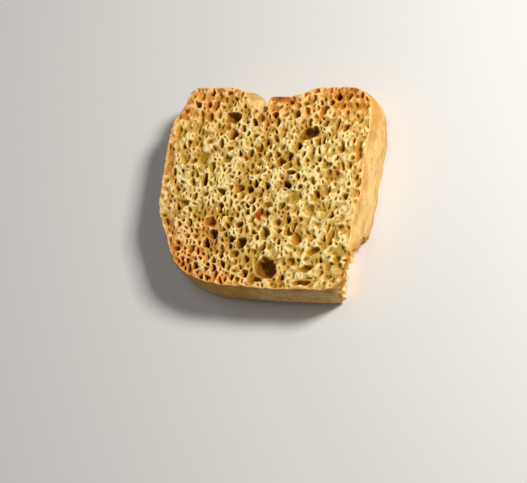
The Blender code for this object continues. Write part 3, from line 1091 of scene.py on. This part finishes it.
def toast_colour(tree, places):
    """The crumb and the crust, with bran specks, the fleck and a fine grain over both."""
    blotches = stretched_noise(tree, places, *BLOTCHES)
    toasted_and_painted_light = math_node(tree, "ADD", socket_value(tree, "toasted_and_painted_light"), blotches, clamp=True)
    depth = socket_value(tree, "depth")
    crumb = crumb_colour(tree, places, depth, toasted_and_painted_light)
    crust = crust_colour(tree, places, toasted_and_painted_light)
    colour = mix_colour(tree, socket_value(tree, "wall"), crumb, crust)
    colour = mix_colour(tree, stretched_noise(tree, places, *SPECKS), colour, BRAN)
    # the fleck is pink at the face and browner deeper in: partly its colour, partly painted shade
    fleck = mix_colour(tree, stretch(tree, depth, *FLECK_SHADE_DEPTHS), FLECK_PINK, FLECK_SHADE_BROWN)
    colour = mix_colour(tree, socket_value(tree, "fleck"), colour, fleck)
    return vector_math(tree, "SCALE", colour, stretched_noise(tree, places, *GRAIN))


def toast_material():
    """Dry, matt bread with a very fine bump."""
    material = bpy.data.materials.new("toast")
    material.use_nodes = True
    tree = material.node_tree
    shader = tree.nodes["Principled BSDF"]
    places = tree.nodes.new("ShaderNodeTexCoord").outputs["Object"]
    tree.links.new(toast_colour(tree, places), shader.inputs["Base Color"])
    bump = tree.nodes.new("ShaderNodeBump")
    bump.inputs["Strength"].default_value = BUMP_STRENGTH
    bump.inputs["Distance"].default_value = BUMP_HEIGHT
    tree.links.new(noise(tree, places, *BUMPS), bump.inputs["Height"])
    tree.links.new(bump.outputs["Normal"], shader.inputs["Normal"])
    tree.links.new(stretched_noise(tree, places, *ROUGHNESS), shader.inputs["Roughness"])
    shader.inputs["Specular IOR Level"].default_value = SHEEN
    return material


def build_toast():
    """The slice as one closed mesh, with its colours and its flat map."""
    points, quads, maps = carve_slice()
    points[:, :2] -= middle
    piece = build_mesh("toast_slice", points, quads)
    simplify(piece, MOST_TRIANGLES)
    mesh = piece.data
    places = mesh_points(mesh)
    dress_mesh(mesh, places, maps)
    map_faces(mesh, places, maps)
    mesh.polygons.foreach_set("use_smooth", np.ones(len(mesh.polygons), bool))
    mesh.materials.clear()
    mesh.materials.append(toast_material())
    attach(piece, "root")
    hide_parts("toast")


# The stage, the lights and the camera

CAMERA_AZIMUTH = 55.16
CAMERA_ELEVATION = 55.88
CAMERA_ROLL = 47.4
CAMERA_DISTANCE = 0.6472
LENS = 116.1
SENSOR = 36.0
IMAGE_WIDTH = 527
IMAGE_HEIGHT = 483
AIM_PIXEL = (262.0, 184.0)  # where the photograph shows AIM_PLACE
AIM_PLACE = (1.921, 0.09, 14.5)
NEAR_CLIP = 0.01

# Each light's direction as the viewer sees it (right, up, towards the viewer), its distance and
# size in metres, its watts and its colour
KEY = ((0.46, 0.55, 0.72), 0.7, 0.16, 5.9, (1.0, 0.975, 0.93))
FILL = ((-0.6, 0.5, 0.7), 0.8, 0.5, 0.5, (0.97, 0.99, 1.0))
SKY = (1.0, 0.99, 0.97, 1.0)
SKY_STRENGTH = 0.15
FLOOR_REACH = 3.0
FLOOR_GREY = (0.78, 0.77, 0.75, 1.0)
FLOOR_ROUGHNESS = 0.7


def camera_axes():
    """Right, up and back of the photograph's view, in the slice's frame."""
    azimuth = math.radians(CAMERA_AZIMUTH)
    elevation = math.radians(CAMERA_ELEVATION)
    level = math.cos(elevation)
    back = Vector((math.sin(azimuth) * level, -math.cos(azimuth) * level, math.sin(elevation)))
    right = Vector((math.cos(azimuth), math.sin(azimuth), 0.0))
    turn = Matrix.Rotation(-math.radians(CAMERA_ROLL), 3, back)
    right = turn @ right
    return right, back.cross(right), back


def from_view(right_share, up_share, back_share):
    """A direction given as the viewer sees it, in the slice's frame."""
    right, up, back = camera_axes()
    return (right * right_share + up * up_share + back * back_share).normalized()


def make_camera():
    """The photograph's camera, so placed that AIM_PLACE shows at AIM_PIXEL."""
    right, up, back = camera_axes()
    focal = LENS / SENSOR * IMAGE_WIDTH
    seen_right = (AIM_PIXEL[0] - IMAGE_WIDTH / 2) / focal * CAMERA_DISTANCE
    seen_up = -(AIM_PIXEL[1] - IMAGE_HEIGHT / 2) / focal * CAMERA_DISTANCE
    place = Vector(AIM_PLACE) * MM - right * seen_right - up * seen_up + back * CAMERA_DISTANCE
    data = bpy.data.cameras.new("camera")
    data.lens = LENS
    data.sensor_width = SENSOR
    data.clip_start = NEAR_CLIP
    camera = bpy.data.objects.new("camera", data)
    rotation = Matrix((right, up, back)).transposed()
    camera.matrix_world = Matrix.Translation(place) @ rotation.to_4x4()
    bpy.context.scene.collection.objects.link(camera)
    bpy.context.scene.camera = camera


def area_light(name, seen_from, distance, size, watts, colour):
    """A square soft light at a distance from the slice, facing it."""
    direction = from_view(*seen_from)
    data = bpy.data.lights.new(name, "AREA")
    data.size = size
    data.energy = watts
    data.color = colour
    light = bpy.data.objects.new(name, data)
    light.location = direction * distance
    light.rotation_mode = "QUATERNION"
    light.rotation_quaternion = direction.to_track_quat("Z", "Y")
    bpy.context.scene.collection.objects.link(light)


def make_lights():
    """A key light, a weak fill and a dim sky."""
    area_light("key", *KEY)
    area_light("fill", *FILL)
    world = bpy.data.worlds.new("world")
    world.use_nodes = True
    background = world.node_tree.nodes["Background"]
    background.inputs["Color"].default_value = SKY
    background.inputs["Strength"].default_value = SKY_STRENGTH
    bpy.context.scene.world = world
    bpy.context.scene.view_settings.view_transform = "Standard"


def make_floor():
    """The table that the slice lies on."""
    mesh = bpy.data.meshes.new("floor")
    ends = (-FLOOR_REACH, FLOOR_REACH)
    corners = [(x, y, 0.0) for y in ends for x in ends]
    mesh.from_pydata(corners, [], [(0, 1, 3, 2)])
    floor = bpy.data.objects.new("floor", mesh)
    material = bpy.data.materials.new("floor")
    material.use_nodes = True
    shader = material.node_tree.nodes["Principled BSDF"]
    shader.inputs["Base Color"].default_value = FLOOR_GREY
    shader.inputs["Roughness"].default_value = FLOOR_ROUGHNESS
    mesh.materials.append(material)
    bpy.context.scene.collection.objects.link(floor)


# The functions above read the outline, its middle in the frame, and the grid's corner and places
outline = outline_points(FACE_CORNERS, OUTLINE_STEP)
middle = outline.min(0) - SIDE_BULGE - np.array(cad_low[:2]) / MM
low, axes = make_grid(outline)

build_toast()
make_floor()
make_lights()
make_camera()
